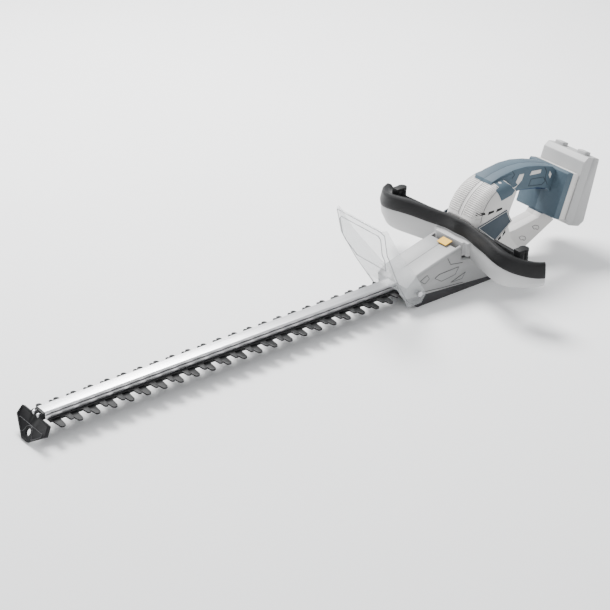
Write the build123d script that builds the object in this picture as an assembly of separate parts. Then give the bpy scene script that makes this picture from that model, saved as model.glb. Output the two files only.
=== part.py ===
from build123d import *
import os
from math import atan2, cos, degrees, pi, radians, sin, sqrt, tan

os.makedirs("parts", exist_ok=True)

# ---------------------------------------------------------------- driving sizes
# X runs towards the blade tip, +Y is the left side, +Z is up. The working datum is
# the rearmost long tooth at the height of the blades; ORIGIN moves it to the floor.

PITCH = 24.0              # tooth spacing along the blade
TEETH = 22                # long teeth on each side
BLADE_THICK = 2.2         # each toothed blade
BLADE_GAP = 0.1           # running gap between the sliding faces
SPINE_HALF = 13.0         # half width of a blade's solid spine
LONG_TIP = 31.5           # how far the long teeth reach from the centre line
SHORT_TIP = 26.5          # how far the short teeth reach
SHORT_SHIFT = 14.6        # the short teeth sit this far behind the long ones
STROKE = 8.0              # each blade slides this far either way
BOLT_COUNT = 6
BOLT_R = 2.0

RAIL_HALF = 9.5           # aluminium bar above the blades
RAIL_HEIGHT = 9.5
RAIL_FRONT = (TEETH - 1) * PITCH + 12.0
RAIL_REAR = -70.0
GROOVE_DEEP = 1.2         # long groove in each side of the bar

GUARD_HOLE_R = 4.75       # hanging hole in the tip guard
GUARD_THICK = 3.0
GUARD_RIM = 1.0           # raised rim around the tip guard
GUARD_X = RAIL_FRONT + 12.0   # where the guard's plane meets GUARD_Z
GUARD_Z = -8.0
GUARD_LEAN = 33.0         # the guard leans forwards towards its point
GUARD_FOOT_Z = -25.0      # its foot rests on the floor

FLOOR_Z = -25.0           # flat underside of the gearbox cover
NOSE_HALF = 30.0          # half width of the gearbox cover
NOSE_WALL = 2.4
DOME_HALF = 34.0          # half width of the motor housing
DOME_ROUND = 18.0
BODY_WALL = 2.6
GRIP_HALF = 15.0          # half width of the handle shell under the soft grip
SOFT = 1.5                # thickness of the soft grip
STRUT_HALF = 13.5         # half width of the lower beam of the rear handle
BASE_HALF = 38.0          # half width of the battery socket
PACK_HALF = 40.0          # half width of the battery pack

GEAR_MODULE = 1.0
GEAR_TEETH = 52
PINION_TEETH = 13
GEAR_THICK = 8.0
GEAR_X = -133.0           # gear shaft's place along the tool
CRANK = 8.0               # throw of each eccentric disc
DISC_R = 11.0
SHAFT_R = 4.0
BEARING_R = 9.5
MOTOR_R = 16.5
MOTOR_LENGTH = 50.0
ROTOR_R = 2.5

HANDLE_BLACK = 20.0       # height of the black band of the front handle

SHIELD_THICK = 2.4
RUN = 0.05                # radial running clearance of shafts and pins
GAP = 0.4                 # clearance between bodies that move past each other

# ---------------------------------------------------------------- frame
# The row's origin is on the floor under the middle of the tool's length.
GUARD_DROP = (GUARD_Z - GUARD_FOOT_Z) / cos(radians(GUARD_LEAN))
LENGTH_FRONT = GUARD_X + GUARD_DROP * sin(radians(GUARD_LEAN))
LENGTH_FRONT += (GUARD_THICK + GUARD_RIM) * cos(radians(GUARD_LEAN))
PACK_TILT = 19.8          # the battery socket leans back by this many degrees
SOCKET_X = -289.0         # lower front corner of the battery socket
SOCKET_Z = 40.0
PACK_LONG = 101.0         # battery pack along its slide
PACK_DEEP = 40.0          # the pack is deepest near its foot
PACK_TOP_DEEP = 30.0
SOCKET_DEEP = 24.0
SOCKET_LONG = 68.0
PACK_DROP = -7.0          # the pack starts this far below the socket's lower edge


def tilt(along, out):
    """A point in the leaning frame of the battery socket, as (x, z)."""
    lean = radians(PACK_TILT)
    x = SOCKET_X - along * sin(lean) - out * cos(lean)
    z = SOCKET_Z + along * cos(lean) - out * sin(lean)
    return (x, z)


LENGTH_REAR = tilt(PACK_DROP + PACK_LONG, SOCKET_DEEP + PACK_TOP_DEEP)[0]
ORIGIN = Vector(-(LENGTH_FRONT + LENGTH_REAR) / 2, 0, -FLOOR_Z)


# ---------------------------------------------------------------- helpers
def slab(points, y0, y1, corner=0.0):
    """A side-view outline in X and Z, filled between two widths."""
    face = make_face(Polyline(*[(x, z) for x, z in points], close=True))
    if corner:
        face = fillet(face.vertices(), corner)
    solid = extrude(Plane.XZ.offset(-y1) * face, amount=y1 - y0)
    return solid


def twin(points, half, corner=0.0):
    """The same, centred on the tool's middle plane."""
    return slab(points, -half, half, corner)


def plate(points, z0, z1):
    """A plan-view outline in X and Y, filled between two heights."""
    face = make_face(Polyline(*points, close=True))
    return Pos(0, 0, z0) * extrude(face, amount=z1 - z0)


def box(x0, x1, y0, y1, z0, z1):
    return Pos((x0 + x1) / 2, (y0 + y1) / 2, (z0 + z1) / 2) * Box(x1 - x0, y1 - y0, z1 - z0)


def rod(x, y, z0, z1, radius):
    """An upright cylinder."""
    return Pos(x, y, (z0 + z1) / 2) * Cylinder(radius, z1 - z0)


def cross_rod(x, z, y0, y1, radius):
    """A cylinder lying across the tool."""
    return Pos(x, (y0 + y1) / 2, z) * Rot(90, 0, 0) * Cylinder(radius, y1 - y0)


def shrink(points, by):
    """A closed side-view outline moved inwards, as a face in X and Z."""
    face = make_face(Polyline(*points, close=True))
    return offset(face, -by, kind=Kind.INTERSECTION)


def hollow(points, half, wall):
    """The inside of a shell that has the given outline and half width."""
    inner = shrink(points, wall)
    return extrude(Plane.XZ.offset(-(half - wall)) * inner, amount=2 * (half - wall))


def left_of(solid):
    return solid & box(-700, 700, 0, 300, -200, 400)


def right_of(solid):
    return solid & box(-700, 700, -300, 0, -200, 400)


def solids_of(shape, smallest=1.0):
    """Every solid of a result, without slivers, as one compound."""
    kept = [s for s in shape.solids() if s.volume > smallest]
    return kept[0] if len(kept) == 1 else Compound(children=kept)


# ---------------------------------------------------------------- blades and bar
BAR_Z = 0.5                                   # underside of the bar
UPPER_Z = BAR_Z - BLADE_GAP - BLADE_THICK     # underside of the upper blade
LOWER_Z = UPPER_Z - BLADE_GAP - BLADE_THICK
BLADE_END = (TEETH - 1) * PITCH + 8.0
FRAME_HALF = 27.0                             # window frame at each blade's tail
WINDOW_HALF_Y = DISC_R + CRANK + 2.0
WINDOW_HALF_X = DISC_R + CRANK + STROKE + 2.0
FRAME_X = WINDOW_HALF_X + 6.0


def tooth(reach, root, tip):
    """One tooth on each side, tapering outwards to a round end."""
    straight = reach - tip / 2
    outline = [(-root / 2, 0), (root / 2, 0), (tip / 2, straight), (-tip / 2, straight)]
    face = make_face(Polyline(*outline, close=True)) + Pos(0, straight) * Circle(tip / 2)
    return face + mirror(face, about=Plane.XZ)


def blade(reach, root, tip, shift):
    """A toothed blade with bolt slots and the window for its eccentric disc."""
    strip = Pos((BLADE_END + GEAR_X) / 2, 0) * Rectangle(BLADE_END - GEAR_X, 2 * SPINE_HALF)
    one = tooth(reach, root, tip)
    for n in range(TEETH):
        strip = strip + Pos(n * PITCH - shift, 0) * one
    strip = strip + Pos(GEAR_X, 0) * Rectangle(2 * FRAME_X, 2 * FRAME_HALF)
    strip = strip - Pos(GEAR_X, 0) * Rectangle(2 * WINDOW_HALF_X, 2 * WINDOW_HALF_Y)
    for x in bolt_places:
        strip = strip - Pos(x, 0) * SlotOverall(2 * (STROKE + BOLT_R + GAP), 2 * (BOLT_R + GAP))
    return extrude(strip, amount=BLADE_THICK)


bolt_places = [PITCH * (1.5 + 3.6 * n) for n in range(BOLT_COUNT)]
lower_blade = Pos(0, 0, LOWER_Z) * blade(LONG_TIP, 14.0, 7.5, 0.0)
upper_blade = Pos(0, 0, UPPER_Z) * blade(SHORT_TIP, 12.0, 5.5, SHORT_SHIFT)

rail = box(RAIL_REAR, RAIL_FRONT, -RAIL_HALF, RAIL_HALF, BAR_Z, BAR_Z + RAIL_HEIGHT)
rail = chamfer(rail.edges().filter_by(Axis.X).group_by(Axis.Z)[-1], 1.4)
for side in (-1, 1):
    groove = box(RAIL_REAR - 1, RAIL_FRONT + 1, -GROOVE_DEEP, GROOVE_DEEP, -1.1, 1.1)
    rail = rail - Pos(0, side * RAIL_HALF, BAR_Z + 0.55 * RAIL_HEIGHT) * groove
BOLT_DEEP = 8.0
for x in bolt_places:
    rail = rail - rod(x, 0, BAR_Z - 1, BAR_Z + BOLT_DEEP, BOLT_R)

blade_bolts = []
for x in bolt_places:
    shank = rod(x, 0, LOWER_Z - 0.3, BAR_Z + BOLT_DEEP - 0.5, BOLT_R)
    head = rod(x, 0, LOWER_Z - 2.6, LOWER_Z - 0.3, 4.2)
    blade_bolts.append(shank + head)

# ---------------------------------------------------------------- tip guard
# A chevron plate that leans forwards towards its point, with a raised rim.
guard_outline = [(-34, -8), (-31, 3), (-12, 3), (-9, 7), (9, 7), (12, 3), (31, 3), (34, -8)]
guard_outline += [(6, GUARD_FOOT_Z), (-6, GUARD_FOOT_Z)]


def guard_plane(forward):
    """The guard's own plane, leaning so that its point is furthest forwards."""
    lean = radians(GUARD_LEAN)
    normal = Vector(cos(lean), 0, sin(lean))
    return Plane(origin=Vector(GUARD_X, 0, GUARD_Z) + normal * forward, x_dir=(0, 1, 0), z_dir=normal)


guard_points = [(y, (z - GUARD_Z) / cos(radians(GUARD_LEAN))) for y, z in guard_outline]
chevron = make_face(Polyline(*guard_points, close=True))
chevron = fillet(chevron.vertices(), 1.8)
tip_guard = extrude(guard_plane(0) * chevron, amount=GUARD_THICK)
rim = chevron - offset(chevron, -2.6)
tip_guard = tip_guard + extrude(guard_plane(GUARD_THICK - 0.5) * rim, amount=GUARD_RIM + 0.5)
HOLE_DOWN = -9.5
tip_guard = tip_guard - extrude(guard_plane(-5) * Pos(0, HOLE_DOWN) * Circle(GUARD_HOLE_R), amount=20)
foot = box(RAIL_FRONT, GUARD_X, -9.0, 9.0, BAR_Z, BAR_Z + RAIL_HEIGHT - 1.0)
behind = extrude(guard_plane(GUARD_THICK / 2) * Rectangle(200, 200), amount=100)
tip_guard = tip_guard + (foot - behind)
SCREW_Y = 5.0
guard_bore = Rot(0, 90, 0) * Cylinder(1.5, 60)
tip_screws = []
for side in (-1, 1):
    where = (RAIL_FRONT, side * SCREW_Y, BAR_Z + 6.0)
    tip_guard = tip_guard - Pos(*where) * guard_bore
    rail = rail - Pos(*where) * Rot(0, 90, 0) * Cylinder(1.5, 20)
    shank = Pos(RAIL_FRONT - 2.0, where[1], where[2]) * Rot(0, 90, 0) * Cylinder(1.5, 15)
    head = Pos(RAIL_FRONT + 7.0, where[1], where[2]) * Rot(0, 90, 0) * Cylinder(2.6, 3.0)
    tip_guard = tip_guard - Pos(RAIL_FRONT + 15.5, where[1], where[2]) * Rot(0, 90, 0) * Cylinder(2.6, 20)
    tip_screws.append(shank + head)

# ---------------------------------------------------------------- gearbox cover (nose)
nose_outline = [
    (-28, -7), (-26, 10), (-44, 23), (-100, 38), (-124, 43), (-126, 24), (-180, 20), (-180, -18.6),
]
bottom_outline = [
    (-28, -7.4), (-180, -19), (-205, -19), (-196, FLOOR_Z), (-46, FLOOR_Z), (-32, -14),
]
nose = twin(nose_outline, NOSE_HALF)
nose = fillet(nose.edges().filter_by(Axis.Y, reverse=True).filter_by(lambda e: e.center().Z > 20), 4.0)
nose = nose - hollow(nose_outline, NOSE_HALF, NOSE_WALL)
nose = nose - twin([(-36, -30), (-36, -4), (-178, -4), (-178, -30)], NOSE_HALF - NOSE_WALL)
nose = nose - twin([(-116, 13), (-116, 50), (-182, 50), (-182, 13)], 25.0)
rail_way = box(-50, 0, -RAIL_HALF - GAP, RAIL_HALF + GAP, BAR_Z - 1, BAR_Z + RAIL_HEIGHT + GAP)
blade_way = box(-50, 0, -SPINE_HALF - GAP, SPINE_HALF + GAP, LOWER_Z - 3, BAR_Z)
nose = nose - rail_way - blade_way
nose_left = solids_of(left_of(nose))
nose_right = solids_of(right_of(nose))

bottom_cover = twin(bottom_outline, NOSE_HALF)
cover_room = [(-44, -18), (-44, 5), (-190, 5), (-190, -18)]
bottom_cover = bottom_cover - twin(cover_room, NOSE_HALF - NOSE_WALL - 1)
cover_top = [(-28, -7.4), (-28, 20), (-180, 20), (-180, -19)]
bottom_cover = bottom_cover - twin(cover_top, 60)
bottom_cover = bottom_cover - box(-50, 0, -SPINE_HALF - GAP, SPINE_HALF + GAP, LOWER_Z - 3, 5)

# ---------------------------------------------------------------- gear train
GEAR_Z = BAR_Z + 3.0
PINION_X = GEAR_X - GEAR_MODULE * (GEAR_TEETH + PINION_TEETH) / 2


def gear_face(teeth, first):
    """Involute spur gear outline; `first` is the angle of one tooth in degrees."""
    pitch_r = GEAR_MODULE * teeth / 2
    base_r = pitch_r * cos(radians(20))
    tip_r = pitch_r + 0.85 * GEAR_MODULE
    root_r = pitch_r - 1.15 * GEAR_MODULE
    flank = tan(radians(20)) - radians(20)
    half = pi / (2 * teeth) - 0.05 / pitch_r
    points = []
    for n in range(teeth):
        mid = radians(first) + 2 * pi * n / teeth
        side = []
        for step in range(6):
            start_r = max(base_r, root_r)
            r = start_r + (tip_r - start_r) * step / 5
            roll = sqrt(max((r / base_r) ** 2 - 1, 0))
            side.append((r, half + flank - (roll - atan2(roll, 1))))
        turn = [(root_r, side[0][1])] if root_r < base_r else []
        for r, a in turn + side:
            points.append((r * cos(mid - a), r * sin(mid - a)))
        for r, a in reversed(turn + side):
            points.append((r * cos(mid + a), r * sin(mid + a)))
    return make_face(Polyline(*points, close=True))


gear_wheel = extrude(Pos(GEAR_X, 0, GEAR_Z) * gear_face(GEAR_TEETH, 180), amount=GEAR_THICK)
gear_wheel = gear_wheel - rod(GEAR_X, 0, 0, 30, SHAFT_R)
for n in range(6):
    at = Pos(GEAR_X, 0, 0) * Rot(0, 0, 60 * n) * Pos(15.5, 0, GEAR_Z + GEAR_THICK / 2)
    gear_wheel = gear_wheel - at * Cylinder(4.0, 20)
pinion = extrude(Pos(PINION_X, 0, GEAR_Z - 1) * gear_face(PINION_TEETH, 180), amount=GEAR_THICK + 2)
pinion = pinion - rod(PINION_X, 0, 0, 30, ROTOR_R)

upper_disc = rod(GEAR_X + CRANK, 0, UPPER_Z, UPPER_Z + BLADE_THICK, DISC_R)
upper_disc = upper_disc + rod(GEAR_X, 0, UPPER_Z + BLADE_THICK, GEAR_Z, 7.0)
upper_disc = upper_disc - rod(GEAR_X, 0, -40, 40, SHAFT_R)
lower_disc = rod(GEAR_X - CRANK, 0, LOWER_Z, LOWER_Z + BLADE_THICK, DISC_R)
lower_disc = lower_disc + rod(GEAR_X, 0, LOWER_Z + BLADE_THICK, UPPER_Z, 7.0)
lower_disc = lower_disc - rod(GEAR_X, 0, -40, 40, SHAFT_R)

SHAFT_LOW = -14.0
SHAFT_HIGH = 23.0
gear_shaft = rod(GEAR_X, 0, SHAFT_LOW, SHAFT_HIGH, SHAFT_R)
BEARING_THICK = 6.0


def bearing(z0):
    ring = rod(GEAR_X, 0, z0, z0 + BEARING_THICK, BEARING_R)
    return ring - rod(GEAR_X, 0, z0 - 1, z0 + BEARING_THICK + 1, SHAFT_R + RUN)


LOW_BEARING_Z = SHAFT_LOW
HIGH_BEARING_Z = GEAR_Z + GEAR_THICK + 5.5
lower_bearing = bearing(LOW_BEARING_Z)
upper_bearing = bearing(HIGH_BEARING_Z)
lower_seat = rod(GEAR_X, 0, -19.2, SHAFT_LOW + 4, BEARING_R + 3)
lower_seat = lower_seat - rod(GEAR_X, 0, SHAFT_LOW, 20, BEARING_R)
bottom_cover = bottom_cover + lower_seat

PLATE_Z = HIGH_BEARING_Z - 3.0
MOTOR_Z = PLATE_Z + 8.0
plate_half = 24.0
gearbox_plate = box(PINION_X - 17, GEAR_X + 24, -plate_half + 4, plate_half - 4, PLATE_Z, PLATE_Z + 3)
gearbox_plate = gearbox_plate + rod(GEAR_X, 0, PLATE_Z, HIGH_BEARING_Z + BEARING_THICK, BEARING_R + 2.5)
gearbox_plate = gearbox_plate - rod(GEAR_X, 0, HIGH_BEARING_Z, 60, BEARING_R)
gearbox_plate = gearbox_plate - rod(GEAR_X, 0, 0, 60, SHAFT_R + 1.0)
gearbox_plate = gearbox_plate - rod(PINION_X, 0, 0, 60, 9.5)
bridge = box(GEAR_X + 20, RAIL_REAR + 6, -8, 8, PLATE_Z, PLATE_Z + 3)
RAIL_TOP = BAR_Z + RAIL_HEIGHT
saddle = box(RAIL_REAR + 2, RAIL_REAR + 22, -RAIL_HALF, RAIL_HALF, RAIL_TOP, RAIL_TOP + 3)
riser = box(RAIL_REAR + 2, RAIL_REAR + 6, -8, 8, RAIL_TOP, PLATE_Z + 3)
gearbox_plate = gearbox_plate + bridge + riser + saddle

MOTOR_TOP = MOTOR_Z + MOTOR_LENGTH
motor_can = rod(PINION_X, 0, MOTOR_Z, MOTOR_TOP, MOTOR_R)
motor_can = motor_can + rod(PINION_X, 0, PLATE_Z + 3, MOTOR_Z, 13.0)
motor_can = motor_can - rod(PINION_X, 0, PLATE_Z, MOTOR_Z + 3, 9.5)
motor_can = motor_can - rod(PINION_X, 0, MOTOR_Z + 3, MOTOR_TOP - 3, MOTOR_R - 2)
motor_can = motor_can - rod(PINION_X, 0, 0, MOTOR_TOP + 5, ROTOR_R + RUN)
rotor_shaft = rod(PINION_X, 0, GEAR_Z - 1, MOTOR_TOP + 2, ROTOR_R)
rotor_core = rod(PINION_X, 0, MOTOR_Z + 8, MOTOR_TOP - 10, MOTOR_R - 5)
rotor_core = rotor_core - rod(PINION_X, 0, 0, 200, ROTOR_R)
cooling_fan = rod(PINION_X, 0, MOTOR_Z + 4, MOTOR_Z + 7, MOTOR_R - 3.5)
cooling_fan = cooling_fan - rod(PINION_X, 0, 0, 200, ROTOR_R)

# ---------------------------------------------------------------- body shells
dome_lower = [
    (-144, 72), (-146.4, 60), (-146.4, 28.4), (-180.4, 20.4), (-180.4, -18.6), (-205, -18.6),
    (-226, -16), (-226, 14), (-212, 30), (-204, 55), (-206, 74), (-218, 100),
]
grip_outline = [
    (-186, 113), (-203, 119), (-228, 122), (-250, 121), (-274, 116), (-302, 107), tilt(62, 2), tilt(34, 4),
    (-298, 78), (-276, 86), (-246, 91), (-221, 93), (-207, 84), (-203, 70), (-190, 70),
]
strut_outline = [
    (-205, 27), (-240, 28), (-285, 34), tilt(2, 2), tilt(-4, 24), (-315, 22), (-262, -4), (-226, -16),
    (-205, -18.6),
]
socket_outline = [tilt(0, 0), tilt(SOCKET_LONG, 0), tilt(SOCKET_LONG, SOCKET_DEEP), tilt(0, SOCKET_DEEP)]

dome_arc = ThreePointArc((-205, 116), (-161, 98), (-144, 72))
dome_rest = Polyline(*dome_lower, (-205, 116))
dome_face = make_face([dome_arc, dome_rest])
dome = extrude(Plane.XZ.offset(-DOME_HALF) * dome_face, amount=2 * DOME_HALF)
crown = dome.edges().filter_by(GeomType.CIRCLE)
dome = fillet(crown, DOME_ROUND)
inner_half = DOME_HALF - BODY_WALL
dome_room = offset(dome_face, -BODY_WALL, kind=Kind.INTERSECTION)
dome_room = extrude(Plane.XZ.offset(-inner_half) * dome_room, amount=2 * inner_half)
dome_room = fillet(dome_room.edges().filter_by(GeomType.CIRCLE), DOME_ROUND - BODY_WALL)
grip_core = twin(grip_outline, GRIP_HALF)
strut = twin(strut_outline, STRUT_HALF)
socket = twin(socket_outline, BASE_HALF, 0)
socket = fillet(socket.edges().filter_by(lambda e: abs(e.center().Y) < 1), 3.0)
body = dome + grip_core + strut + socket
inside = dome_room + hollow(grip_outline, GRIP_HALF, BODY_WALL)
inside = inside + hollow(strut_outline, STRUT_HALF, BODY_WALL)
inside = inside + hollow(socket_outline, BASE_HALF, BODY_WALL)
body = body - inside - box(-188, -100, -25, 25, 10, 34)
screw_places = [(-192, 4), (-196, 94), (-218, 0), (-262, 14), (-308, 88), (-196, 44)]
cover_places = [(-62, 20), (-98, 29)]
SCREW_R = 1.8
BOSS_R = 3.8
housing_screws = []
for x, z in screw_places:
    inner = GRIP_HALF - BODY_WALL if x < -230 else DOME_HALF - BODY_WALL
    body = body + cross_rod(x, z, -inner, inner, BOSS_R) - cross_rod(x, z, -10, 10, SCREW_R)
    housing_screws.append(cross_rod(x, z, -10, 10, SCREW_R))

# ---------------------------------------------------------------- trigger in the rear handle
TRIGGER_HALF = 11.0
TRIGGER_PIN_X = -290.0
TRIGGER_PIN_Z = 85.0
PIN_R = 2.0
trigger_outline = [
    (-200, 64), (-205, 60), (-208, 71), (-214, 80), (-222, 85), (-246, 86), (-276, 80.5), (-297, 74),
    (-298, 82), (-292, 90), (-276, 92), (-246, 98), (-222, 99), (-208, 93), (-201, 80),
]
trigger = twin(trigger_outline, TRIGGER_HALF)
trigger = trigger - cross_rod(TRIGGER_PIN_X, TRIGGER_PIN_Z, -30, 30, PIN_R + RUN)
SPRING_X = -232.0
trigger = trigger - rod(SPRING_X, 0, 92, 120, 4.5)
room_outline = [(-198, 58), (-207, 55), (-300, 70), (-301, 84), (-296, 94), (-246, 106)]
room_outline += [(-220, 107), (-200, 100), (-196, 84)]
trigger_room = twin(room_outline, TRIGGER_HALF + GAP)
body = body - trigger_room
trigger_pin = cross_rod(TRIGGER_PIN_X, TRIGGER_PIN_Z, -GRIP_HALF + 0.6, GRIP_HALF - 0.6, PIN_R)
for side in (-1, 1):
    y0, y1 = sorted((side * (TRIGGER_HALF + GAP), side * (GRIP_HALF - 0.5)))
    ear = cross_rod(TRIGGER_PIN_X, TRIGGER_PIN_Z, y0, y1, 5.0)
    body = body + ear
body = body - cross_rod(TRIGGER_PIN_X, TRIGGER_PIN_Z, -GRIP_HALF + 0.6, GRIP_HALF - 0.6, PIN_R)

spring_floor = 92.0
spring_top = 118.0
trigger_spring = rod(SPRING_X, 0, spring_floor, spring_top, 4.0) - rod(SPRING_X, 0, 80, 130, 3.0)
trigger_switch = box(-268, -246, -6, 6, 103, 111)

left_shell = solids_of(left_of(body), 50)
right_shell = solids_of(right_of(body), 50)

# ---------------------------------------------------------------- soft grip over the rear handle
soft_outline = [
    (-184, 112), (-187, 116.5), (-203, 120.6), (-228, 123.6), (-250, 122.6), (-274, 117.6), (-303, 108.6),
    tilt(64, 0.3), tilt(32, 2.4), (-296.5, 77), (-276, 84.4), (-246, 89.4), (-221.6, 91.4), (-208, 82.4),
    (-200, 92), (-186, 100),
]
soft = twin(soft_outline, GRIP_HALF + SOFT)
soft = soft - twin(grip_outline, GRIP_HALF)
soft = soft - dome - socket - trigger_room - body
soft_left = solids_of(left_of(soft), 200)
soft_right = solids_of(right_of(soft), 200)

# ---------------------------------------------------------------- badges and label
badge_outline = [(-146, 66), (-200, 78), (-211, 58), (-180, 35)]
badge_left = slab(badge_outline, DOME_HALF, DOME_HALF + 0.8)
badge_right = slab(badge_outline, -DOME_HALF - 0.8, -DOME_HALF)

# ---------------------------------------------------------------- battery pack and socket
pack_low = PACK_DROP
pack_high = PACK_DROP + PACK_LONG
pack_out = SOCKET_DEEP + GAP
pack_outline = [
    tilt(pack_low + 8, pack_out), tilt(pack_low, pack_out + 10),
    tilt(pack_low, pack_out + PACK_DEEP - GAP - 8),
    tilt(pack_low + 8, pack_out + PACK_DEEP - GAP), tilt(pack_high, SOCKET_DEEP + PACK_TOP_DEEP),
    tilt(pack_high, pack_out + 6), tilt(pack_high - 8, pack_out),
]
PACK_WALL = 2.4
pack = twin(pack_outline, PACK_HALF)
pack = fillet(pack.edges().filter_by(lambda e: abs(e.center().Y) < 1), 3.0)
pack = pack - hollow(pack_outline, PACK_HALF, PACK_WALL)
split = twin([tilt(-60, pack_out + 16), tilt(160, pack_out + 16), tilt(160, 160), tilt(-60, 160)], 90)
pack_back = solids_of(pack & split, 20)
pack_front = solids_of(pack - split, 20)
CELL_R = 9.2
CELL_ROWS = 4
cells = []
for row in range(CELL_ROWS):
    x, z = tilt(pack_low + 12 + CELL_R + row * (2 * CELL_R + 0.3), pack_out + 17)
    cells.append(cross_rod(x, z, -PACK_HALF + 4, PACK_HALF - 4, CELL_R))

BUTTON_HALF = 8.0
latches = {}
for name, side in (("left", 1), ("right", -1)):
    y = side * 22.0
    seat = [tilt(pack_high - 4, pack_out + 8), tilt(pack_high + 4, pack_out + 8)]
    seat += [tilt(pack_high + 4, pack_out + 20), tilt(pack_high - 4, pack_out + 20)]
    hole = slab(seat, y - BUTTON_HALF - GAP, y + BUTTON_HALF + GAP)
    seat_in = [tilt(pack_high - 5, pack_out + 8 + GAP), tilt(pack_high + 5, pack_out + 8 + GAP)]
    seat_in += [tilt(pack_high + 5, pack_out + 20 - GAP), tilt(pack_high - 5, pack_out + 20 - GAP)]
    latches[name] = slab(seat_in, y - BUTTON_HALF, y + BUTTON_HALF)
    pack_front = pack_front - hole
    pack_back = pack_back - hole
pack_front = solids_of(pack_front, 20)
pack_back = solids_of(pack_back, 20)

terminal_room = [tilt(14, SOCKET_DEEP - 8), tilt(54, SOCKET_DEEP - 8)]
terminal_room += [tilt(54, SOCKET_DEEP), tilt(14, SOCKET_DEEP)]
terminal_block = twin(terminal_room, 20.0)
left_shell = solids_of(left_shell - twin(terminal_room, 20.0), 50)
right_shell = solids_of(right_shell - twin(terminal_room, 20.0), 50)
contacts = []
for n in range(4):
    y = -12 + 8 * n
    strip = [tilt(20, 6), tilt(50, 6), tilt(50, SOCKET_DEEP - 8), tilt(20, SOCKET_DEEP - 8)]
    contacts.append(slab(strip, y - 0.5, y + 0.5))
control_board = box(-250, -222, -10, 10, 4, 6)

# ---------------------------------------------------------------- front handle
# Each station is: place across the tool, the front ridge's x, its height, how deep the
# light shell hangs below the black band there, and the handle's depth from front to back.
wing = [
    (0, -137.2, 70, 27, 9.0), (30, -137.2, 69, 28, 9.0), (58, -129, 70, 30, 12.0), (88, -119, 72, 30, 13.0),
    (112, -115, 70, 27, 13.0), (134, -121, 66, 21, 13.0), (152, -134, 63, 15, 13.0),
    (163, -150, 62, 11, 12.0),
]


def wing_angle(index):
    """Direction of the handle seen from above at one station, in degrees."""
    before = wing[max(index - 1, 0)]
    after = wing[min(index + 1, len(wing) - 1)]
    return degrees(atan2(after[1] - before[1], after[0] - before[0])) if index else 0.0


def wing_plane(index, side):
    """Section plane: its x runs out of the handle's front, its y runs up."""
    y, x, z = wing[index][:3]
    turn = radians(wing_angle(index))
    outward = Vector(cos(turn), -side * sin(turn), 0)
    return Plane(origin=(x, side * y, z), x_dir=outward, z_dir=outward.cross(Vector(0, 0, 1)))


def wing_loft(outline_of):
    """A smooth body through the sections of both halves of the handle."""
    sections = []
    for side, order in ((-1, range(len(wing) - 1, 0, -1)), (1, range(len(wing)))):
        for index in order:
            face = make_face(Polyline(*outline_of(*wing[index][3:]), close=True))
            sections.append(wing_plane(index, side) * face)
    return loft(sections)


def black_section(shell, deep):
    low = -HANDLE_BLACK
    return [(0, -3), (-3, 0), (-deep + 4, -1), (-deep, -6), (-deep, low), (2.5, low), (3, -16)]


def shell_section(shell, deep):
    low = -HANDLE_BLACK - shell
    top = -HANDLE_BLACK - 0.3
    rear = [(-deep + 1, top), (-deep + 2, low + 2), (-deep + 5, low - 1)]
    return [(1.5, top), *rear, (-3, low - 2), (1.5, low + 0.4 * shell)]


def oblong(deep, share, high, low):
    """A plain section centred in the handle's depth."""
    front = -deep / 2 + share * deep / 2
    rear = -deep / 2 - share * deep / 2
    return [(front, high), (rear, high), (rear, low), (front, low)]


def core_section(shell, deep):
    return oblong(deep, 0.62, -5.0, 2.0 - HANDLE_BLACK)


def core_room_section(shell, deep):
    return oblong(deep, 0.36, -8.0, 1.0 - HANDLE_BLACK)


def shell_room_section(shell, deep):
    return oblong(deep, 0.4, 1.0 - HANDLE_BLACK, -HANDLE_BLACK - 0.7 * shell)


front_grip = wing_loft(black_section)
handle_shell = wing_loft(shell_section)
handle_core = wing_loft(core_section)
front_grip = front_grip - handle_core
handle_core = handle_core - wing_loft(core_room_section)
handle_shell = handle_shell - wing_loft(shell_room_section)
nose_block = twin(nose_outline, NOSE_HALF)
NECK_TOP = 46.5
DOME_FRONT = -146.4
behind_handle = box(DOME_FRONT - 60, DOME_FRONT + 2.4, -DOME_HALF - 0.2, DOME_HALF + 0.2, -10, 140)
room_below = box(-150, -90, -NOSE_HALF, NOSE_HALF, -10, 27)
neck = box(DOME_FRONT + 2.4, -126.2, -27, 27, 27, NECK_TOP)
neck = neck + box(DOME_FRONT + 2.4, -130, -34, 34, 27, NECK_TOP)
handle_shell = handle_shell - behind_handle - room_below + neck
front_grip = front_grip - behind_handle
handle_core = handle_core - behind_handle
handle_core = solids_of(handle_core, 100)
front_grip = solids_of(front_grip, 200)
handle_shell = solids_of(handle_shell, 200)

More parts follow.
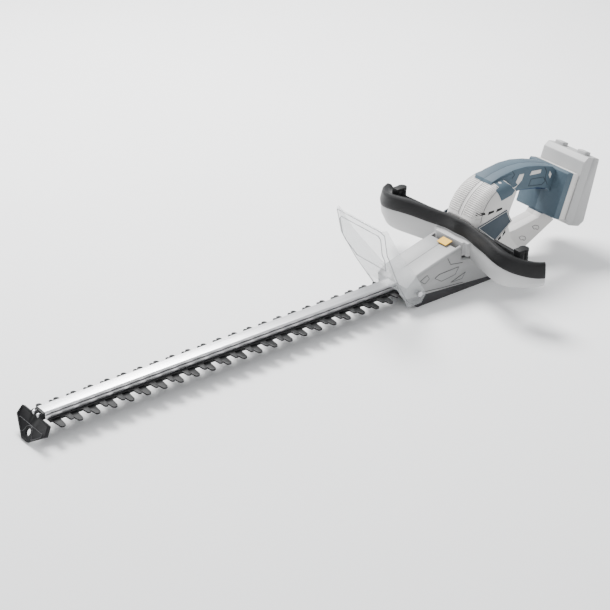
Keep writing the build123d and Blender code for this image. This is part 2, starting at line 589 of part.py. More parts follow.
# Two paddles behind the handle are squeezed towards it before the blades will run.
LUG_Y = 124.0
LUG_X = -147.0
LUG_LOW = 36.0
LUG_HIGH = 71.0
HUB_LOW = 40.0
HUB_HIGH = 66.0
HUB_R = 6.4
PADDLE_TOP = 57.0
LEVER_PIN_R = 2.0
levers = {}
brackets = {}
lever_pins = []
for name, side in (("left", 1), ("right", -1)):
    y = side * LUG_Y
    hub_room = rod(LUG_X, y, HUB_LOW - GAP, HUB_HIGH + GAP, HUB_R + 1.0)
    arm = box(LUG_X, LUG_X + 13, y - 6, y + 6, LUG_LOW, LUG_HIGH)
    bracket = rod(LUG_X, y, LUG_LOW, LUG_HIGH, 7.0) + arm
    bracket = bracket - hub_room - front_grip - handle_core - handle_shell
    y0, y1 = sorted((y, y - side * 12))
    sweep = box(LUG_X - 9, LUG_X + 6, y0, y1, HUB_LOW - GAP, HUB_HIGH + GAP)
    bracket = bracket - sweep - rod(LUG_X, y, LUG_LOW + 2, LUG_HIGH - 1, LEVER_PIN_R)
    brackets[name] = solids_of(bracket, 50)
    paddle = [(LUG_X + 2, y), (-150, side * 62), (-155, side * 60), (LUG_X - 5, y)]
    lever = rod(LUG_X, y, HUB_LOW, HUB_HIGH, HUB_R) + plate(paddle, HUB_LOW + 4, PADDLE_TOP)
    levers[name] = lever - rod(LUG_X, y, 0, 90, LEVER_PIN_R + RUN)
    lever_pins.append(rod(LUG_X, y, LUG_LOW + 2, LUG_HIGH - 1, LEVER_PIN_R))
label = slab([(-109, 42), (-121, 45), (-121, 45.8), (-109, 42.8)], -5, 13) - nose_block

# ---------------------------------------------------------------- hand guard
# Each level is: height, front, rear and half width of the clear guard.
shield_levels = [
    (-18, -24, -50, 33.4), (-6, -19, -57, 34.5), (8, -11, -49, 36.5), (38, 6, -27, 43), (80, 27, 5, 48.5),
    (118, 34, 27, 50),
]


def shield_loft(inset, back):
    """The guard's outside, or its inside when inset by the wall."""
    sections = []
    for z, front, rear, half in shield_levels:
        width = 2 * (half - inset)
        depth = front - rear - inset + back
        face = Rectangle(depth, width)
        corners = face.vertices().sort_by(Axis.X)[-2:]
        face = fillet(corners, 6.0 - inset)
        sections.append(Pos(front - inset - depth / 2, 0, z) * face)
    return loft(sections, ruled=True)


shield = shield_loft(0, 0) - shield_loft(SHIELD_THICK, 30)
shield = shield - box(-60, 40, -32.6, 32.6, -60, BAR_Z + RAIL_HEIGHT + 4)
SHIELD_SCREW_X = -44.0
SHIELD_SCREW_Z = -1.0
shield_screws = []
for side in (-1, 1):
    y0, y1 = sorted((side * (NOSE_HALF - 6), side * 36.0))
    shank = cross_rod(SHIELD_SCREW_X, SHIELD_SCREW_Z, y0, y1, 2.0)
    y0, y1 = sorted((side * 35.6, side * 38.0))
    head = cross_rod(SHIELD_SCREW_X, SHIELD_SCREW_Z, y0, y1, 3.8)
    y0, y1 = sorted((side * (NOSE_HALF - 8), side * NOSE_HALF))
    boss = cross_rod(SHIELD_SCREW_X, SHIELD_SCREW_Z, y0, y1, 4.5)
    y0, y1 = sorted((side * NOSE_HALF, side * 33.2))
    collar = cross_rod(SHIELD_SCREW_X, SHIELD_SCREW_Z, y0, y1, 4.5)
    shield = shield + collar - shank
    shield = shield - head
    nose_side = (nose_left if side > 0 else nose_right) + boss - shank
    if side > 0:
        nose_left = solids_of(nose_side)
    else:
        nose_right = solids_of(nose_side)
    shield_screws.append(shank + head)
shield = solids_of(shield, 50)

# ---------------------------------------------------------------- remaining screws
for x, z in cover_places:
    boss = cross_rod(x, z, -NOSE_HALF + NOSE_WALL, NOSE_HALF - NOSE_WALL, BOSS_R)
    boss = (boss & nose_block) - cross_rod(x, z, -10, 10, SCREW_R)
    nose_left = solids_of(nose_left + left_of(boss))
    nose_right = solids_of(nose_right + right_of(boss))
    housing_screws.append(cross_rod(x, z, -10, 10, SCREW_R))
cover_screws = []
for x in (-56, -168):
    for side in (-1, 1):
        shank = rod(x, side * 20, FLOOR_Z + 1.0, FLOOR_Z + 9, 1.6)
        cover_screws.append(shank)
        bottom_cover = bottom_cover + rod(x, side * 20, FLOOR_Z, -16, 4.5)
        bottom_cover = bottom_cover - rod(x, side * 20, FLOOR_Z - 1, FLOOR_Z + 9, 1.6)

# ---------------------------------------------------------------- write every node
nodes = {
    "rail": rail,
    "upper_blade": upper_blade,
    "lower_blade": lower_blade,
    "blade_bolts": Compound(children=blade_bolts),
    "tip_guard": tip_guard,
    "tip_guard_screws": Compound(children=tip_screws),
    "gearbox_cover_left": nose_left,
    "gearbox_cover_right": nose_right,
    "bottom_cover": bottom_cover,
    "bottom_cover_screws": Compound(children=cover_screws),
    "gearbox_plate": gearbox_plate,
    "drive_gear": gear_wheel,
    "upper_eccentric": upper_disc,
    "lower_eccentric": lower_disc,
    "gear_shaft": gear_shaft,
    "lower_bearing": lower_bearing,
    "upper_bearing": upper_bearing,
    "motor_can": motor_can,
    "rotor_shaft": rotor_shaft,
    "rotor_core": rotor_core,
    "cooling_fan": cooling_fan,
    "motor_pinion": pinion,
    "body_left": left_shell,
    "body_right": right_shell,
    "housing_screws": Compound(children=housing_screws),
    "grip_left": soft_left,
    "grip_right": soft_right,
    "badge_left": badge_left,
    "badge_right": badge_right,
    "control_board": control_board,
    "trigger": trigger,
    "trigger_pin": trigger_pin,
    "trigger_spring": trigger_spring,
    "trigger_switch": trigger_switch,
    "front_handle_grip": front_grip,
    "front_handle_core": handle_core,
    "front_handle_shell": handle_shell,
    "lever_left": levers["left"],
    "lever_right": levers["right"],
    "lever_bracket_left": brackets["left"],
    "lever_bracket_right": brackets["right"],
    "lever_pins": Compound(children=lever_pins),
    "warning_label": label,
    "hand_guard": shield,
    "hand_guard_screws": Compound(children=shield_screws),
    "terminal_block": terminal_block,
    "socket_contacts": Compound(children=contacts),
    "battery_front": pack_front,
    "battery_back": pack_back,
    "battery_cells": Compound(children=cells),
    "latch_button_left": latches["left"],
    "latch_button_right": latches["right"],
}
everything = []
for name, part in nodes.items():
    solids = [Pos(*ORIGIN) * solid for solid in part.solids()]
    everything += solids
    export_step(solids[0] if len(solids) == 1 else Compound(children=solids), f"parts/{name}.step")
overall = Compound(children=everything).bounding_box()
print("nodes", len(nodes), "box", overall.min, overall.max, "origin", ORIGIN)
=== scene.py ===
import math

import bmesh
import bpy
from mathutils import Matrix, Vector
from mathutils.bvhtree import BVHTree


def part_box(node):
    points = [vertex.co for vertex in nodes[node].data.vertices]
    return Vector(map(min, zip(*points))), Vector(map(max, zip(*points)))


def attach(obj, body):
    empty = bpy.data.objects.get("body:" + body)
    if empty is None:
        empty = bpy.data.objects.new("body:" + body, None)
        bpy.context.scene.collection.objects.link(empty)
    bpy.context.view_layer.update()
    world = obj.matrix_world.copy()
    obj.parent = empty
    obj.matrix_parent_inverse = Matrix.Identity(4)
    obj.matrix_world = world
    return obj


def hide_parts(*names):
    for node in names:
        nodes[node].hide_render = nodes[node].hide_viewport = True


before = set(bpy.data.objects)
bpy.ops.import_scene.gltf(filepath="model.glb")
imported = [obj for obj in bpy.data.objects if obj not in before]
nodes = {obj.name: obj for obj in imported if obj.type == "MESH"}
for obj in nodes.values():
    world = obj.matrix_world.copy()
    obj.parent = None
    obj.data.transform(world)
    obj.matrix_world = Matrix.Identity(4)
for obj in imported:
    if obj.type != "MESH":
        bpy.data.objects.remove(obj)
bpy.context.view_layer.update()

# ---------------------------------------------------------------- aluminium bar
# A drawn aluminium bar stiffens the blades over their whole length. It is left
# bright, with fine die lines along it and a groove down each side.
RAIL_REAR = 70.0
BLADE_HEIGHT = 25.0
datum = Vector((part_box("rail")[0].x + RAIL_REAR / 1000, 0, BLADE_HEIGHT / 1000))


def at(x, y, z):
    """A place in mm from the rearmost tooth, at the height of the blades."""
    return datum + Vector((x, y, z)) / 1000


def finish(name, dark, light, rough, **more):
    """A finish whose colour, gloss and surface all vary a little over the piece."""
    material = bpy.data.materials.new(name)
    material.use_nodes = True
    made = material.node_tree.nodes
    link = material.node_tree.links.new
    shader = made["Principled BSDF"]
    shader.inputs["Metallic"].default_value = more.get("metal", 0.0)
    shader.inputs["IOR"].default_value = more.get("ior", 1.47)
    shader.inputs["Coat Weight"].default_value = more.get("coat", 0.0)
    shader.inputs["Coat Roughness"].default_value = 0.2
    shader.inputs["Specular IOR Level"].default_value = more.get("shine", 0.4)
    shader.inputs["Alpha"].default_value = more.get("alpha", 1.0)
    place = made.new("ShaderNodeTexCoord")
    stretch = made.new("ShaderNodeMapping")
    stretch.inputs["Scale"].default_value = more.get("stretch", (1, 1, 1))
    link(place.outputs["Object"], stretch.inputs["Vector"])
    cloud = made.new("ShaderNodeTexNoise")
    cloud.inputs["Scale"].default_value = more.get("cloud", 28.0)
    cloud.inputs["Detail"].default_value = 6.0
    link(stretch.outputs["Vector"], cloud.inputs["Vector"])
    tint = made.new("ShaderNodeValToRGB")
    tint.color_ramp.elements[0].position = 0.3
    tint.color_ramp.elements[1].position = 0.7
    tint.color_ramp.elements[0].color = (*dark, 1)
    tint.color_ramp.elements[1].color = (*light, 1)
    link(cloud.outputs["Fac"], tint.inputs["Fac"])
    link(tint.outputs["Color"], shader.inputs["Base Color"])
    gloss = made.new("ShaderNodeMapRange")
    gloss.inputs["To Min"].default_value = rough - more.get("swing", 0.05)
    gloss.inputs["To Max"].default_value = rough + more.get("swing", 0.05)
    link(cloud.outputs["Fac"], gloss.inputs["Value"])
    link(gloss.outputs["Result"], shader.inputs["Roughness"])
    grain = made.new("ShaderNodeTexNoise")
    grain.inputs["Scale"].default_value = more.get("grain", 1400.0)
    grain.inputs["Detail"].default_value = 3.0
    link(stretch.outputs["Vector"], grain.inputs["Vector"])
    bump = made.new("ShaderNodeBump")
    bump.inputs["Strength"].default_value = more.get("bump", 0.12)
    bump.inputs["Distance"].default_value = 0.0003
    link(grain.outputs["Fac"], bump.inputs["Height"])
    link(bump.outputs["Normal"], shader.inputs["Normal"])
    return material


def dress(name, material):
    """A part that keeps its own shape takes a finish."""
    piece = nodes[name]
    if not piece.material_slots:
        piece.data.materials.append(material)
    for place in piece.material_slots:
        place.material = material


def smooth_mesh(shape, name, sharp=32.0):
    """Writes a shape to a mesh that is smooth between its sharp corners."""
    mesh = bpy.data.meshes.new(name)
    shape.to_mesh(mesh)
    shape.free()
    for face in mesh.polygons:
        face.use_smooth = True
    mesh.set_sharp_from_angle(angle=math.radians(sharp))
    return mesh


def show(mesh, name, body, slot_name, *materials):
    """Puts a finished mesh in the scene, on its body."""
    piece = bpy.data.objects.new(name, mesh)
    bpy.context.scene.collection.objects.link(piece)
    for material in materials:
        mesh.materials.append(material)
    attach(piece, body)
    return piece


SAME_PLACE = 2e-6
FLAT_WITHIN = math.radians(0.8)
BOLD_CORNER = math.radians(50)


def softened(name, body, slot_name, edge, material, wear_highlight_or_side=None, corner=28.0, bold=None, paint=None):
    """A part with its doubles merged and its corners rounded, as moulded or ground. Its second
    finish goes on the rounded corners: ground steel on the blades, a painted highlight on the hand
    guard. bold is a larger radius and a test of which edges take it; paint cuts the part and
    colours one side with the second finish instead."""
    shape = bmesh.new()
    shape.from_mesh(nodes[name].data)
    bmesh.ops.remove_doubles(shape, verts=shape.verts, dist=SAME_PLACE)
    bmesh.ops.dissolve_limit(
        shape, angle_limit=FLAT_WITHIN, verts=shape.verts, edges=shape.edges,
    )
    if bold:
        chosen = [e for e in shape.edges if len(e.link_faces) == 2
                  and e.calc_face_angle(0) > BOLD_CORNER and bold[1](e)]
        bmesh.ops.bevel(
            shape, geom=chosen, affect="EDGES", offset=bold[0] / 1000, offset_type="OFFSET",
            segments=5, profile=0.5, material=-1, clamp_overlap=True,
        )
    corners = [e for e in shape.edges if len(e.link_faces) == 2
               and e.calc_face_angle(0) > math.radians(corner)]
    rounded = bmesh.ops.bevel(
        shape, geom=corners, affect="EDGES", offset=edge / 1000, offset_type="OFFSET",
        segments=2, profile=0.5, material=-1, clamp_overlap=True,
    )
    for face in shape.faces:
        face.material_index = 0
    # On the hand guard the rounded corners take a painted highlight; on the blades they are ground
    # steel.
    if wear_highlight_or_side and not paint:
        for face in rounded["faces"]:
            face.material_index = 1
    if paint:
        for start, away in paint:
            bmesh.ops.bisect_plane(
                shape, geom=shape.verts[:] + shape.edges[:] + shape.faces[:], dist=1e-6,
                plane_co=start, plane_no=away,
            )
        for face in shape.faces:
            middle = face.calc_center_median()
            if all((middle - start).dot(away) < 0 for start, away in paint):
                face.material_index = 1
    mesh = smooth_mesh(shape, name + "_finished")
    materials = [material, wear_highlight_or_side] if wear_highlight_or_side else [material]
    piece = show(mesh, name + "_finished", body, slot_name, *materials)
    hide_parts(name)
    return piece


drawn_bar = finish(
    "drawn aluminium", (0.60, 0.60, 0.61), (0.76, 0.76, 0.77), 0.34, metal=0.85,
    stretch=(1, 60, 60), cloud=9.0, grain=90.0, bump=0.2,
)
bar = softened("rail", "tool", "aluminium_bar", 0.6, drawn_bar)


def skin_of(*pieces):
    """The outer surface of some pieces, for details to lie on."""
    points = []
    faces = []
    for piece in pieces:
        start = len(points)
        points += [v.co.copy() for v in piece.data.vertices]
        faces += [[start + i for i in face.vertices] for face in piece.data.polygons]
    return BVHTree.FromPolygons(points, faces)


STAND_OFF = 0.08
REACH = 0.2
LINE_STEP = 0.0018
PLATE_STEP = 0.0016


def bead(name, body, slot_name, material, skin, routes, aim, radius, lift=0.0):
    """A fine line that lies on a skin: painted shade along a seam when it is dark, a rib when it is
    raised.
    """
    line = bpy.data.curves.new(name, "CURVE")
    line.dimensions = "3D"
    line.bevel_depth = radius / 1000
    line.bevel_resolution = 1
    line.use_fill_caps = True
    for route in routes:
        laid = []
        for start, end in zip(route, route[1:]):
            steps = max(2, int((end - start).length / LINE_STEP))
            laid += [start.lerp(end, n / steps) for n in range(steps)]
        laid.append(route[-1])
        hits = []
        for point in laid:
            found = skin.ray_cast(point - aim * STAND_OFF, aim, REACH)[0]
            if found:
                hits.append(found - aim * lift / 1000)
        if len(hits) > 1:
            spline = line.splines.new("POLY")
            spline.points.add(len(hits) - 1)
            for point, hit in zip(spline.points, hits):
                point.co = (*hit, 1)
    drawn = bpy.data.objects.new(name + "_line", line)
    bpy.context.scene.collection.objects.link(drawn)
    bpy.context.view_layer.update()
    settled = drawn.evaluated_get(bpy.context.evaluated_depsgraph_get())
    mesh = bpy.data.meshes.new_from_object(settled)
    bpy.data.objects.remove(drawn)
    shape = bmesh.new()
    shape.from_mesh(mesh)
    bmesh.ops.recalc_face_normals(shape, faces=shape.faces)
    return show(smooth_mesh(shape, name, 60), name, body, slot_name, material)


def plaque(name, body, slot_name, material, skin, figures, aim, lift, sunk=0.6):
    """Thin shaped plates that follow a skin. Each figure lists its corners in mm."""
    whole = bmesh.new()
    for corners in figures:
        points = [at(*corner) for corner in corners]
        middle = sum(points, Vector()) / len(points)
        reach = max((p - middle).length for p in points)
        turn = aim.to_track_quat("Z", "Y").to_matrix().to_4x4()
        sheet = bmesh.new()
        count = max(6, int(2 * reach / PLATE_STEP))
        bmesh.ops.create_grid(
            sheet, x_segments=count, y_segments=count, size=reach * 1.05,
            matrix=Matrix.Translation(middle) @ turn,
        )
        for start, end in zip(points, points[1:] + points[:1]):
            side = (end - start).cross(aim).normalized()
            if side.dot(middle - start) > 0:
                side = -side
            bmesh.ops.bisect_plane(
                sheet, geom=sheet.verts[:] + sheet.edges[:] + sheet.faces[:], dist=1e-7,
                plane_co=start, plane_no=side, clear_outer=True,
            )
        for vert in sheet.verts:
            found = skin.ray_cast(vert.co - aim * STAND_OFF, aim, REACH)[0]
            if found:
                vert.co = found - aim * lift / 1000
        top = bmesh.ops.extrude_face_region(sheet, geom=sheet.faces[:])
        lower = [v for v in top["geom"] if isinstance(v, bmesh.types.BMVert)]
        bmesh.ops.translate(sheet, verts=lower, vec=aim * (lift + sunk) / 1000)
        bmesh.ops.recalc_face_normals(sheet, faces=sheet.faces)
        part = bpy.data.meshes.new("plate")
        sheet.to_mesh(part)
        sheet.free()
        whole.from_mesh(part)
        bpy.data.meshes.remove(part)
    return show(smooth_mesh(whole, name, 40), name, body, slot_name, material)


LEFTWARD = Vector((0, 1, 0))
DOWN = Vector((0, 0, -1))
groove_shade = finish(
    "shaded groove", (0.05, 0.05, 0.052), (0.085, 0.085, 0.09), 0.5, metal=0.5, stretch=(1, 40, 40),
    cloud=9.0, grain=90.0, bump=0.1,
)
bar_skin = skin_of(bar)
GROOVE_HEIGHT = 5.8
GROOVE_REAR, GROOVE_FRONT = -60, 514
CLEAR_OF_BAR = 30
# Each side groove is drawn as a dark line: painted shade in the groove.
for name, side in (("left", 1), ("right", -1)):
    bead(
        "bar_groove_" + name, "tool", "aluminium_bar", groove_shade, bar_skin,
        [[at(GROOVE_REAR, side * CLEAR_OF_BAR, GROOVE_HEIGHT),
          at(GROOVE_FRONT, side * CLEAR_OF_BAR, GROOVE_HEIGHT)]],
        -side * LEFTWARD, 0.8,
    )

# ---------------------------------------------------------------- blades
# Two stamped and ground steel blades slide against each other. Their faces keep a
# dark hardening colour, and the cutting corners are ground bright.
blade_face = finish(
    "hardened blade face", (0.007, 0.007, 0.0075), (0.018, 0.018, 0.019), 0.5, shine=0.12,
    stretch=(1, 7, 7), cloud=30.0, grain=500.0, bump=0.1,
)
ground_edge = finish(
    "ground cutting edge", (0.06, 0.06, 0.062), (0.11, 0.11, 0.115), 0.4, metal=0.3, shine=0.2,
    stretch=(4, 1, 1), cloud=60.0, grain=900.0, bump=0.15,
)
softened("upper_blade", "upper_blade_slider", "blade_steel", 0.3, blade_face, ground_edge)
softened("lower_blade", "lower_blade_slider", "blade_steel", 0.3, blade_face, ground_edge)
zinc = finish(
    "zinc plated steel", (0.42, 0.42, 0.43), (0.58, 0.58, 0.60), 0.3, metal=1.0,
    cloud=90.0, grain=2400.0, bump=0.08,
)
for name in ("blade_bolts", "tip_guard_screws", "bottom_cover_screws", "housing_screws"):
    softened(name, "tool", "bolt_steel", 0.25, zinc)

# ---------------------------------------------------------------- tip guard
# A black moulded chevron covers the blade tips, with a rim round it and a hole to
# hang the tool by. Two screws hold it to the end of the bar.
black_moulding = finish(
    "black moulding", (0.005, 0.005, 0.0055), (0.012, 0.012, 0.013), 0.5, shine=0.2,
    cloud=40.0, grain=1500.0, bump=0.18,
)
tip = softened("tip_guard", "tool", "black_plastic", 0.7, black_moulding)
GUARD_LEAN = math.radians(33)
guard_out = Vector((math.cos(GUARD_LEAN), 0, math.sin(GUARD_LEAN)))
guard_up = Vector((-math.sin(GUARD_LEAN), 0, math.cos(GUARD_LEAN)))
guard_middle = at(528, 0, -8)
# A lighter line along the raised rim, drawn in this finish, is a painted highlight.
painted_rim_highlight = finish(
    "painted rim highlight", (0.05, 0.05, 0.052), (0.09, 0.09, 0.094), 0.35,
    cloud=60.0, grain=1500.0, bump=0.1,
)
rim = [(-28, -7.5), (-26, -0.5), (26, -0.5), (28, -7.5), (12, -14.5), (8.2, -10)]
HOLE_RIM, HOLE_MIDDLE = 8.2, -9.5
for turn in (1.1, 0.6, 0, -0.6, -1.1):
    rim.append((HOLE_RIM * math.sin(turn), HOLE_MIDDLE + HOLE_RIM * math.cos(turn)))
rim += [(-8.2, -10), (-12, -14.5), (-28, -7.5)]
bead(
    "tip_guard_rim_highlight", "tool", "black_plastic", painted_rim_highlight, skin_of(tip),
    [[guard_middle + LEFTWARD * y / 1000 + guard_up * rise / 1000 for y, rise in rim]],
    -guard_out, 0.35,
)

# ---------------------------------------------------------------- gearbox covers
# Two grey moulded halves close over the gear train, screwed to a dark underside
# cover. Their sides carry shallow raised figures and a split line along the ridge.
grey_moulding = finish(
    "grey moulding", (0.27, 0.27, 0.27), (0.32, 0.32, 0.32), 0.46,
    cloud=14.0, grain=1700.0, bump=0.14,
)
dark_moulding = finish(
    "dark grey moulding", (0.030, 0.030, 0.032), (0.05, 0.05, 0.052), 0.55, shine=0.25,
    cloud=20.0, grain=1500.0, bump=0.2,
)
cover_left = softened("gearbox_cover_left", "tool", "grey_plastic", 1.6, grey_moulding)
cover_right = softened("gearbox_cover_right", "tool", "grey_plastic", 1.6, grey_moulding)
softened("bottom_cover", "tool", "dark_grey_plastic", 1.0, dark_moulding)
# Seams, outlines and split lines on the covers and the body are drawn as dark lines of painted
# shade.
seam_shade = finish(
    "shadow in a seam", (0.10, 0.10, 0.10), (0.15, 0.15, 0.15), 0.8, cloud=50.0, bump=0.05,
)
cover_skin = skin_of(cover_left, cover_right)
FAR = 60
figures = [
    [(-76, 9.5), (-84, 13), (-119, 14), (-113, 4), (-88, 1.5)],
    [(-132, 2), (-126, -6), (-106, -6)],
    [(-50, 13), (-62, 18.5), (-66, 12), (-58, 7)],
]
for name, side in (("left", 1), ("right", -1)):
    inward = -side * LEFTWARD
    plates = [[(x, 0, z) for x, z in corners] for corners in figures]
    plaque(
        "cover_figures_" + name, "tool", "grey_plastic", grey_moulding, cover_skin, plates,
        inward, 0.35,
    )
    rings = [[at(x, side * FAR, z) for x, z in corners + corners[:1]] for corners in figures]
    rings.append([at(-46, side * FAR, -3.5), at(-90, side * FAR, -9), at(-128, side * FAR, -12.5)])
    rings.append([at(-98, side * FAR, 33), at(-104, side * FAR, 22), at(-126, side * FAR, 18.5)])
    # The outlines round the raised figures and the two side lines are painted shade.
    bead(
        "cover_lines_" + name, "tool", "grey_plastic", seam_shade, cover_skin, rings,
        inward, 0.5, 0.3,
    )
# The split line along the ridge is painted shade.
bead(
    "cover_split", "tool", "grey_plastic", seam_shade, cover_skin,
    [[at(-46, 0, 60), at(-124, 0, 60)]], DOWN, 0.3,
)

# ---------------------------------------------------------------- gear train and motor
# A motor stands upright in the dome and turns the large gear through its pinion.
# Two eccentric discs under the gear drive the blades. All of it is machined steel.
machined = finish(
    "machined steel", (0.30, 0.30, 0.31), (0.42, 0.42, 0.44), 0.3, metal=1.0,
    stretch=(1, 1, 12), cloud=60.0, grain=1800.0, bump=0.15,
)
for name in ("drive_gear", "upper_eccentric", "lower_eccentric", "gear_shaft", "motor_can",
             "rotor_shaft", "motor_pinion"):
    dress(name, machined)
for name in ("lower_bearing", "upper_bearing", "lever_pins", "trigger_pin", "trigger_spring",
             "hand_guard_screws"):
    dress(name, zinc)
dress("gearbox_plate", drawn_bar)
winding = finish(
    "wound copper", (0.45, 0.20, 0.07), (0.62, 0.30, 0.11), 0.35, metal=0.9,
    stretch=(1, 1, 20), cloud=80.0, grain=2200.0, bump=0.3,
)
dress("rotor_core", winding)
dress("socket_contacts", winding)
for name in ("cooling_fan", "trigger_switch", "terminal_block"):
    dress(name, black_moulding)
lacquer = finish(
    "board lacquer", (0.02, 0.10, 0.05), (0.03, 0.16, 0.08), 0.35, coat=0.4, cloud=120.0,
)
dress("control_board", lacquer)

# ---------------------------------------------------------------- body shells
# Two off-white moulded halves meet on the middle plane and hold the motor, the
# handle and the battery socket. The dome over the motor has fine ribs for cooling.
white_moulding = finish(
    "off-white moulding", (0.53, 0.515, 0.50), (0.60, 0.585, 0.57), 0.44,
    cloud=9.0, grain=1600.0, bump=0.12,
)
soft_rubber = finish(
    "blue-grey soft rubber", (0.052, 0.080, 0.105), (0.075, 0.112, 0.142), 0.62, shine=0.3,
    cloud=16.0, grain=2600.0, bump=0.3,
)
SOCKET_LEAN = math.radians(19.8)
socket_out = Vector((-math.cos(SOCKET_LEAN), 0, -math.sin(SOCKET_LEAN)))
socket_up = Vector((-math.sin(SOCKET_LEAN), 0, math.cos(SOCKET_LEAN)))
socket_foot = at(-289, 0, 40)
FLANGE_DEEP, FLANGE_HIGH, PAST_FLANGE = 0.012, 0.0695, 0.001
flange = [
    (socket_foot + socket_out * FLANGE_DEEP, socket_out),
    (socket_foot - socket_out * PAST_FLANGE, -socket_out),
    (socket_foot + socket_up * FLANGE_HIGH, socket_up),
    (socket_foot - socket_up * PAST_FLANGE, -socket_up),
]
body_left = softened(
    "body_left", "tool", "white_plastic", 0.9, white_moulding, soft_rubber, paint=flange,
)
body_right = softened(
    "body_right", "tool", "white_plastic", 0.9, white_moulding, soft_rubber, paint=flange,
)
body_skin = skin_of(body_left, body_right)


def arc_through(first, middle, last):
    """Centre and radius, in mm, of the arc through three places in the side view."""
    (ax, az), (bx, bz), (cx, cz) = first, middle, last
    twice = 2 * (ax * (bz - cz) + bx * (cz - az) + cx * (az - bz))
    a, b, c = ax * ax + az * az, bx * bx + bz * bz, cx * cx + cz * cz
    x = (a * (bz - cz) + b * (cz - az) + c * (az - bz)) / twice
    z = (a * (cx - bx) + b * (ax - cx) + c * (bx - ax)) / twice
    return x, z, math.hypot(ax - x, az - z)


DOME_FOOT, DOME_SHOULDER, DOME_CROWN = (-144, 72), (-161, 98), (-205, 116)
DOME_X, DOME_Z, DOME_R = arc_through(DOME_CROWN, DOME_SHOULDER, DOME_FOOT)
RIB_COUNT = 21
LINE_COUNT = 24
STRIP_HALF = 4.5
PANEL_HALF = 31.0
low_turn = math.atan2(DOME_FOOT[1] - DOME_Z, DOME_FOOT[0] - DOME_X)
high_turn = math.atan2(DOME_CROWN[1] - DOME_Z, DOME_CROWN[0] - DOME_X)


def dome_place(share, y):
    """A place on the dome's arc: share runs from its front foot, 0, to its crown, 1."""
    turn = low_turn + (high_turn - low_turn) * share
    return at(DOME_X + DOME_R * math.cos(turn), y, DOME_Z + DOME_R * math.sin(turn))


def dome_aim(share):
    """The way from a place on the dome's arc to the arc's centre."""
    turn = low_turn + (high_turn - low_turn) * share
    return Vector((-math.cos(turn), 0, -math.sin(turn)))


for name, side in (("left", 1), ("right", -1)):
    rib_shape = bmesh.new()
    for n in range(RIB_COUNT):
        share = 0.08 + 0.72 * n / (RIB_COUNT - 1)
        edge_y = PANEL_HALF - 5.0 * n / RIB_COUNT
        rib = bead(
            "rib", "tool", "white_plastic", white_moulding, body_skin,
            [[dome_place(share, side * STRIP_HALF), dome_place(share, side * edge_y)]],
            dome_aim(share), 0.72, 0.2,
        )
        rib_shape.from_mesh(rib.data)
        bpy.data.objects.remove(rib)
    show(
        smooth_mesh(rib_shape, "ribs", 60), "dome_ribs_" + name, "tool", "white_plastic",
        white_moulding,
    )
    # The panel's frame is drawn as dark lines of painted shade along its edges.
    frame_shape = bmesh.new()
    panel_edges = ((STRIP_HALF - 1.4, STRIP_HALF - 1.4), (PANEL_HALF + 1.2, PANEL_HALF - 3.5))
    for front_y, back_y in panel_edges:
        for n in range(LINE_COUNT):
            share, after = 0.03 + 0.82 * n / LINE_COUNT, 0.03 + 0.82 * (n + 1) / LINE_COUNT
            y0 = front_y + (back_y - front_y) * n / LINE_COUNT
            y1 = front_y + (back_y - front_y) * (n + 1) / LINE_COUNT
            piece = bead(
                "edge", "tool", "white_plastic", seam_shade, body_skin,
                [[dome_place(share, side * y0), dome_place(after, side * y1)]],
                dome_aim(share), 0.4,
            )
            frame_shape.from_mesh(piece.data)
            bpy.data.objects.remove(piece)
    show(
        smooth_mesh(frame_shape, "frames", 60), "dome_panel_lines_" + name, "tool",
        "white_plastic", seam_shade,
    )
    inward = -side * LEFTWARD
    # The vent slots are thin black plates laid on the skin, their black a painted shade for the
    # openings.
    vents = [
        [(x, 0, 79.5), (x - 2, 0, 84), (x - 11, 0, 84), (x - 12, 0, 81)] for x in (-150, -165, -180)
    ]
    vents += [
        [(-175, 0, 33.5), (-178, 0, 36.5), (-183, 0, 37.5), (-181, 0, 33)],
        [(-185.5, 0, 34), (-187, 0, 38), (-192, 0, 41.5), (-192.5, 0, 36.5)],
        [(-195, 0, 38.5), (-195.5, 0, 43), (-199.5, 0, 48), (-200.5, 0, 43.5)],
    ]
    plaque(
        "dome_vents_" + name, "tool", "black_plastic", black_moulding, body_skin, vents,
        inward, 0.12,
    )
    # The keyhole recesses are outlined in painted shade.
    keyholes = []
    for x, z in ((-255, 11), (-280, 20.5)):
        ring = [(-7, -3), (-3, 2.5), (1, 3), (3.5, 5.5), (7, 4), (5, -0.5), (-2, -3.5), (-7, -3)]
        keyholes.append([at(x - dx, side * FAR, z - dz) for dx, dz in ring])
    bead(
        "beam_recesses_" + name, "tool", "white_plastic", seam_shade, body_skin, keyholes,
        inward, 0.45,
    )
# The split line over the dome is painted shade.
bead(
    "dome_split", "tool", "white_plastic", seam_shade, body_skin,
    [[at(-208, 0, 60), at(-300, 0, 60)]], DOWN, 0.25,
)
